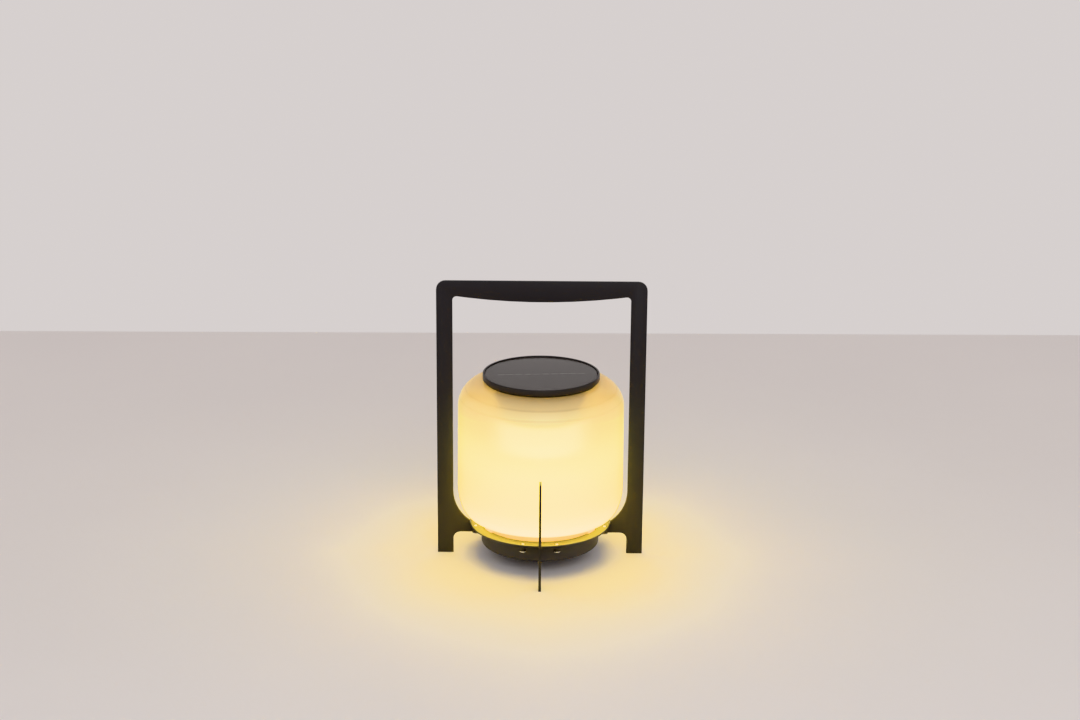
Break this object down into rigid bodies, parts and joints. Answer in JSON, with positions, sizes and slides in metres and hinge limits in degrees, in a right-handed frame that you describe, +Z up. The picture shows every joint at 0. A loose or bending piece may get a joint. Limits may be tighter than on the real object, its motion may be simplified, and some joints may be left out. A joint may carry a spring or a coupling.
{
  "type": "solar lantern",
  "caption": "Portable solar lantern: black sheet-steel carrying arch with four feet, round opal glowing shade and a flat round solar cap.",
  "frame": {"origin": "on the ground under the lamp's axis, at the centre of the four feet", "axes": "+Z up; the carrying arch stands in the XZ plane; -Y is the front"},
  "size_m": [0.24, 0.233, 0.3306],
  "materials": {
    "black_coat": "fine-textured matt black powder coat",
    "bright_zinc": "bright zinc plate",
    "opal_shade": "satin opal, lit from inside",
    "opal_collar": "satin opal",
    "frosted_diffuser": "frosted",
    "black_plastic": "fine satin mould grain",
    "black_rubber": "matt",
    "solar_cell": "dark silicon with pale busbars",
    "panel_cover": "smooth clear-coated grey",
    "white_board": "white solder mask",
    "green_board": "green solder mask",
    "led_phosphor": "yellow phosphor",
    "battery_wrap": "shrink film over a cell",
    "tinned_steel": "tinned",
    "red_wire": "satin insulation",
    "black_wire": "satin insulation"
  },
  "bodies": {
    "frame": {"arch_frame": "black_coat", "front_leg": "black_coat", "rear_leg": "black_coat", "tray": "black_coat", "right_leg_cleat": "black_coat", "rear_leg_cleat": "black_coat", "left_leg_cleat": "black_coat", "front_leg_cleat": "black_coat", "leg_bolt_1": "bright_zinc", "leg_bolt_2": "bright_zinc", "leg_bolt_3": "bright_zinc", "leg_bolt_4": "bright_zinc", "leg_bolt_5": "bright_zinc", "leg_bolt_6": "bright_zinc", "leg_bolt_7": "bright_zinc", "leg_bolt_8": "bright_zinc"},
    "lamp": {"shade": "opal_shade", "shade_collar": "opal_collar"},
    "head": {"cap_bezel": "black_plastic", "panel_backing": "black_plastic", "panel_cover": "panel_cover", "solar_cell_1": "solar_cell", "solar_cell_2": "solar_cell", "solar_cell_3": "solar_cell", "solar_cell_4": "solar_cell", "solar_cell_5": "solar_cell", "solar_cell_6": "solar_cell", "solar_cell_7": "solar_cell", "solar_cell_8": "solar_cell", "solar_cell_9": "solar_cell", "solar_cell_10": "solar_cell", "cap_gasket": "black_rubber", "head_body": "black_plastic", "head_screw_1": "tinned_steel", "head_screw_2": "tinned_steel", "head_screw_3": "tinned_steel", "battery_holder": "black_plastic", "battery": "battery_wrap", "control_board": "green_board", "led_board": "white_board", "led_1": "led_phosphor", "led_2": "led_phosphor", "led_3": "led_phosphor", "led_4": "led_phosphor", "led_5": "led_phosphor", "led_6": "led_phosphor", "light_diffuser": "frosted_diffuser", "charging_socket": "tinned_steel", "button_switch": "tinned_steel", "panel_lead_positive": "red_wire", "panel_lead_negative": "black_wire", "battery_lead_positive": "red_wire", "battery_lead_negative": "black_wire", "led_lead": "black_wire"},
    "flap": {"port_flap": "black_rubber"},
    "button": {"power_button": "black_rubber"}
  },
  "joints": [
    {"name": "lamp_lift", "type": "slide", "parent": "frame", "child": "lamp", "axis": [0, 0, 1], "range_m": [0, 0.082]},
    {"name": "head_twist", "type": "hinge", "parent": "lamp", "child": "head", "pos_m": [0, 0, 0.2126], "axis": [0, 0, 1], "range_deg": [0, 30]},
    {"name": "flap_open", "type": "hinge", "parent": "head", "child": "flap", "pos_m": [-0.00692, 0.06694, 0.2182], "axis": [0, 0, 1], "range_deg": [0, 90], "stiffness_Nm_per_rad": 0.002},
    {"name": "button_press", "type": "slide", "parent": "head", "child": "button", "axis": [-0.4067, -0.9135, 0], "range_m": [0, 0.0006], "stiffness_N_per_m": 1500}
  ]
}
